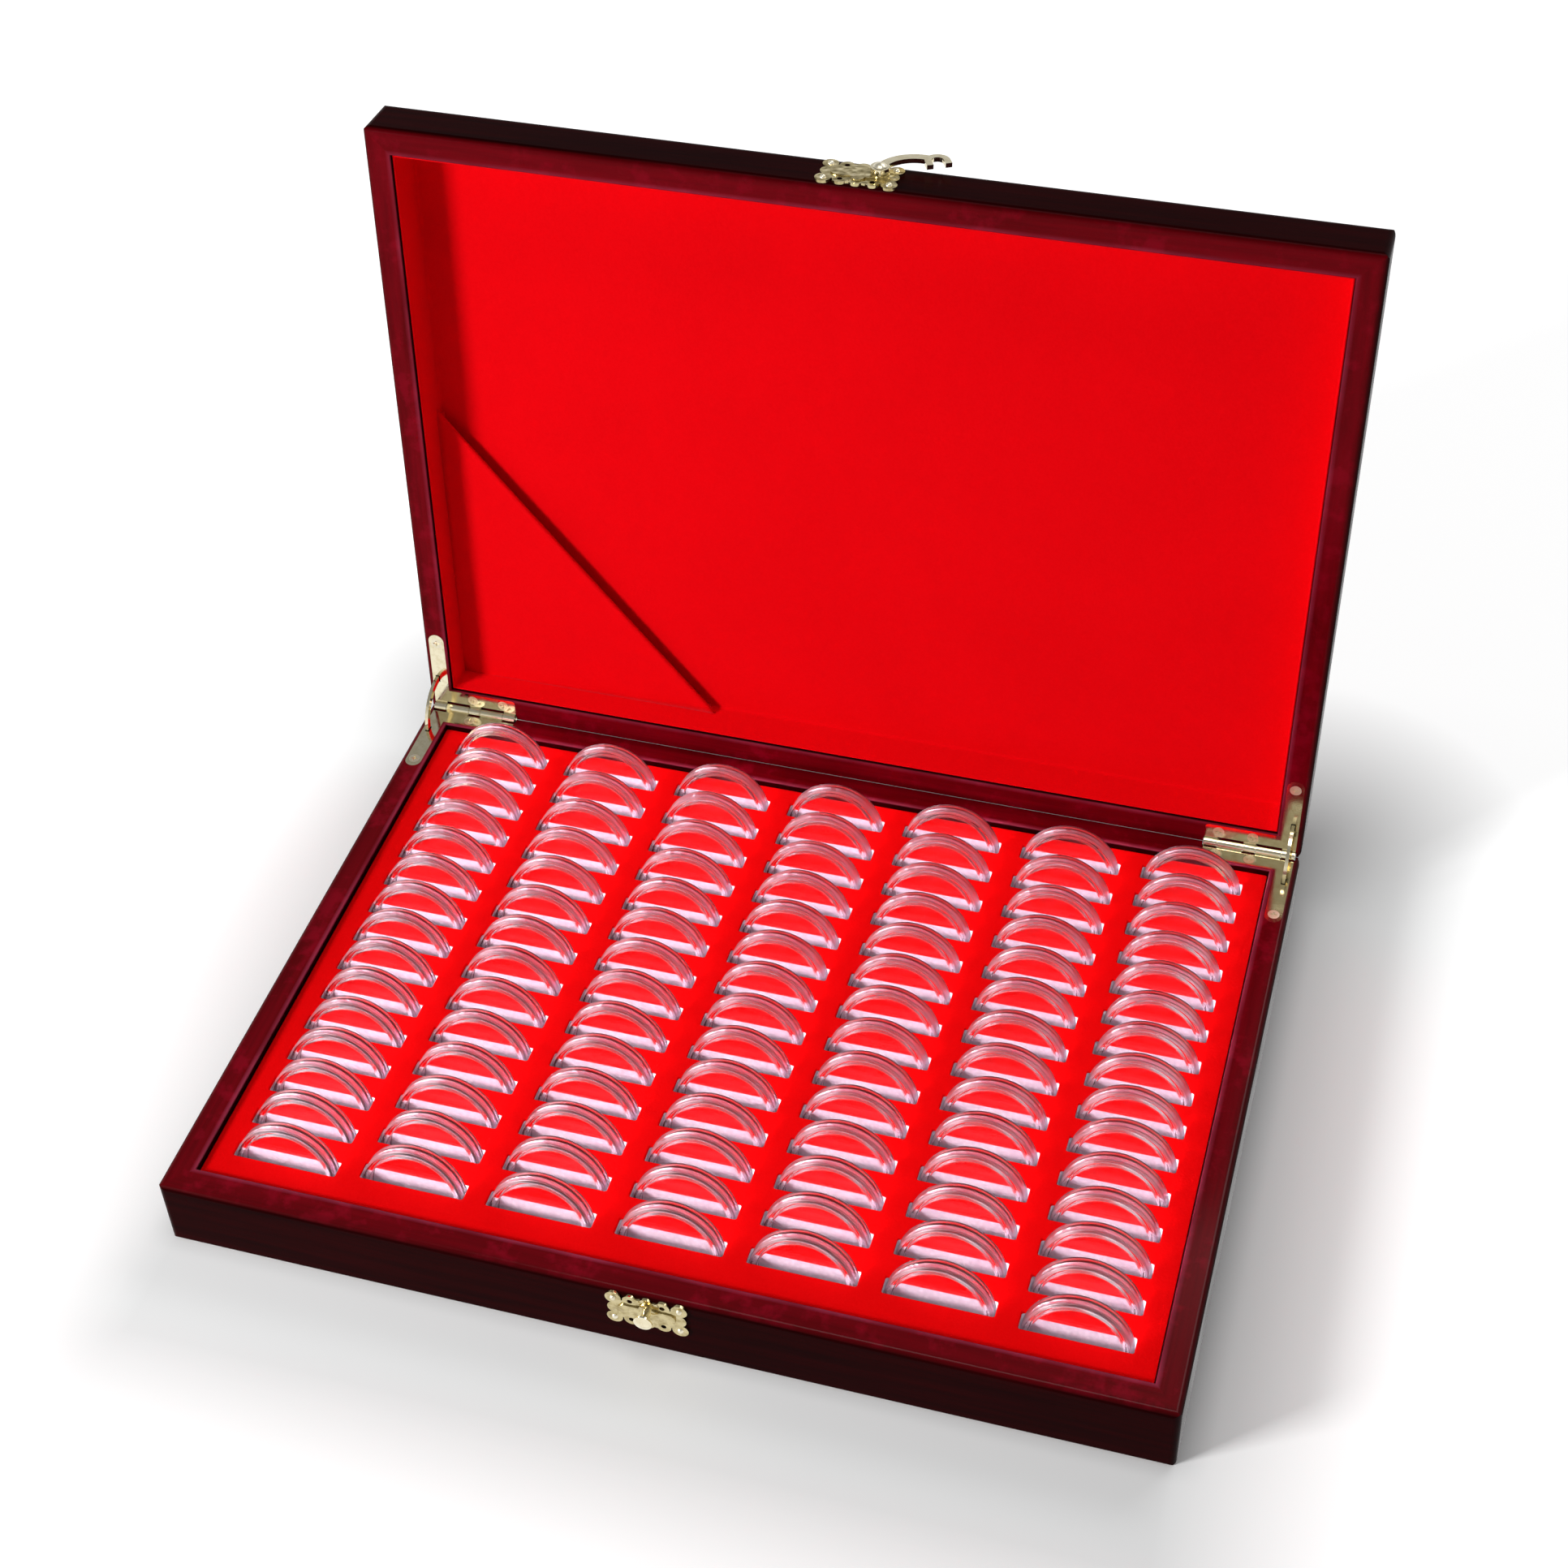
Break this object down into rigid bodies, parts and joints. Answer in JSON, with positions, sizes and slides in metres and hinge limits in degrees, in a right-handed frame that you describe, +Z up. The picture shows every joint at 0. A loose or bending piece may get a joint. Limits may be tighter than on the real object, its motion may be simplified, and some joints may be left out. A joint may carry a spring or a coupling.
{
  "type": "coin display case",
  "caption": "Flat hinged wooden case with a felt-lined lid, swing hook clasp and a slotted foam insert holding rows of round clear coin capsules on edge.",
  "frame": {"origin": "centre of the base's underside", "axes": "+X to the right along the case's width, +Y to the hinges at the back, +Z up"},
  "size_m": [0.34, 0.2901, 0.276],
  "materials": {
    "wine_lacquered_wood": "gloss",
    "white_foam": "matte",
    "red_flock": "matte",
    "red_felt": "matte",
    "clear_capsule": "gloss",
    "pale_brass": "polished"
  },
  "bodies": {
    "base": {"base_front_wall": "wine_lacquered_wood", "base_right_wall": "wine_lacquered_wood", "base_back_wall": "wine_lacquered_wood", "base_left_wall": "wine_lacquered_wood", "base_bottom_panel": "wine_lacquered_wood", "foam_insert": "white_foam", "flocked_sheet": "red_flock", "column_1_back_shells": "clear_capsule", "column_2_back_shells": "clear_capsule", "column_3_back_shells": "clear_capsule", "column_4_back_shells": "clear_capsule", "column_5_back_shells": "clear_capsule", "column_6_back_shells": "clear_capsule", "column_7_back_shells": "clear_capsule", "column_1_front_shells": "clear_capsule", "column_2_front_shells": "clear_capsule", "column_3_front_shells": "clear_capsule", "column_4_front_shells": "clear_capsule", "column_5_front_shells": "clear_capsule", "column_6_front_shells": "clear_capsule", "column_7_front_shells": "clear_capsule", "hinge_left_base_leaf": "pale_brass", "hinge_right_base_leaf": "pale_brass", "hinge_left_pin": "pale_brass", "hinge_right_pin": "pale_brass", "base_hinge_screws": "pale_brass", "clasp_catch_plate": "pale_brass", "clasp_catch_stud": "pale_brass", "clasp_catch_nails": "pale_brass"},
    "lid": {"lid_front_wall": "wine_lacquered_wood", "lid_right_wall": "wine_lacquered_wood", "lid_back_wall": "wine_lacquered_wood", "lid_left_wall": "wine_lacquered_wood", "lid_top_panel": "wine_lacquered_wood", "lid_lining": "red_felt", "certificate_pocket": "red_felt", "hinge_left_lid_leaf": "pale_brass", "hinge_right_lid_leaf": "pale_brass", "lid_hinge_screws": "pale_brass", "clasp_lid_plate": "pale_brass", "clasp_pivot_rivet": "pale_brass", "clasp_lid_nails": "pale_brass"},
    "clasp_hook": {"clasp_hook": "pale_brass"},
    "lid_stay_left": {"lid_stay_left": "pale_brass"},
    "lid_stay_right": {"lid_stay_right": "pale_brass"},
    "front_capsule_1": {"front_capsule_1_back_shell": "clear_capsule", "front_capsule_1_front_shell": "clear_capsule"},
    "front_capsule_2": {"front_capsule_2_back_shell": "clear_capsule", "front_capsule_2_front_shell": "clear_capsule"},
    "front_capsule_3": {"front_capsule_3_back_shell": "clear_capsule", "front_capsule_3_front_shell": "clear_capsule"},
    "front_capsule_4": {"front_capsule_4_back_shell": "clear_capsule", "front_capsule_4_front_shell": "clear_capsule"},
    "front_capsule_5": {"front_capsule_5_back_shell": "clear_capsule", "front_capsule_5_front_shell": "clear_capsule"},
    "front_capsule_6": {"front_capsule_6_back_shell": "clear_capsule", "front_capsule_6_front_shell": "clear_capsule"},
    "front_capsule_7": {"front_capsule_7_back_shell": "clear_capsule", "front_capsule_7_front_shell": "clear_capsule"}
  },
  "joints": [
    {"name": "lid_hinge", "type": "hinge", "parent": "base", "child": "lid", "pos_m": [0, 0.122, 0.02765], "axis": [1, 0, 0], "range_deg": [0, 94]},
    {"name": "clasp_hook_swing", "type": "hinge", "parent": "lid", "child": "clasp_hook", "pos_m": [0.0065, 0.14868, 0.27088], "axis": [0, -0.0698, -0.9976], "range_deg": [-62, 138.06]},
    {"name": "lid_stay_left_slide", "type": "hinge", "parent": "base", "child": "lid_stay_left", "pos_m": [0, 0.122, 0.02765], "axis": [1, 0, 0], "range_deg": [0, 47]},
    {"name": "lid_stay_right_slide", "type": "hinge", "parent": "base", "child": "lid_stay_right", "pos_m": [0, 0.122, 0.02765], "axis": [1, 0, 0], "range_deg": [0, 47]},
    {"name": "front_capsule_1_lift", "type": "slide", "parent": "base", "child": "front_capsule_1", "axis": [0, -0.2079, -0.9781], "range_m": [-0.03, 0]},
    {"name": "front_capsule_2_lift", "type": "slide", "parent": "base", "child": "front_capsule_2", "axis": [0, -0.2079, -0.9781], "range_m": [-0.03, 0]},
    {"name": "front_capsule_3_lift", "type": "slide", "parent": "base", "child": "front_capsule_3", "axis": [0, -0.2079, -0.9781], "range_m": [-0.03, 0]},
    {"name": "front_capsule_4_lift", "type": "slide", "parent": "base", "child": "front_capsule_4", "axis": [0, -0.2079, -0.9781], "range_m": [-0.03, 0]},
    {"name": "front_capsule_5_lift", "type": "slide", "parent": "base", "child": "front_capsule_5", "axis": [0, -0.2079, -0.9781], "range_m": [-0.03, 0]},
    {"name": "front_capsule_6_lift", "type": "slide", "parent": "base", "child": "front_capsule_6", "axis": [0, -0.2079, -0.9781], "range_m": [-0.03, 0]},
    {"name": "front_capsule_7_lift", "type": "slide", "parent": "base", "child": "front_capsule_7", "axis": [0, -0.2079, -0.9781], "range_m": [-0.03, 0]}
  ],
  "couplings": [
    {"joint": "lid_stay_left_slide", "follows": "lid_hinge", "ratio": 0.5},
    {"joint": "lid_stay_right_slide", "follows": "lid_hinge", "ratio": 0.5}
  ]
}
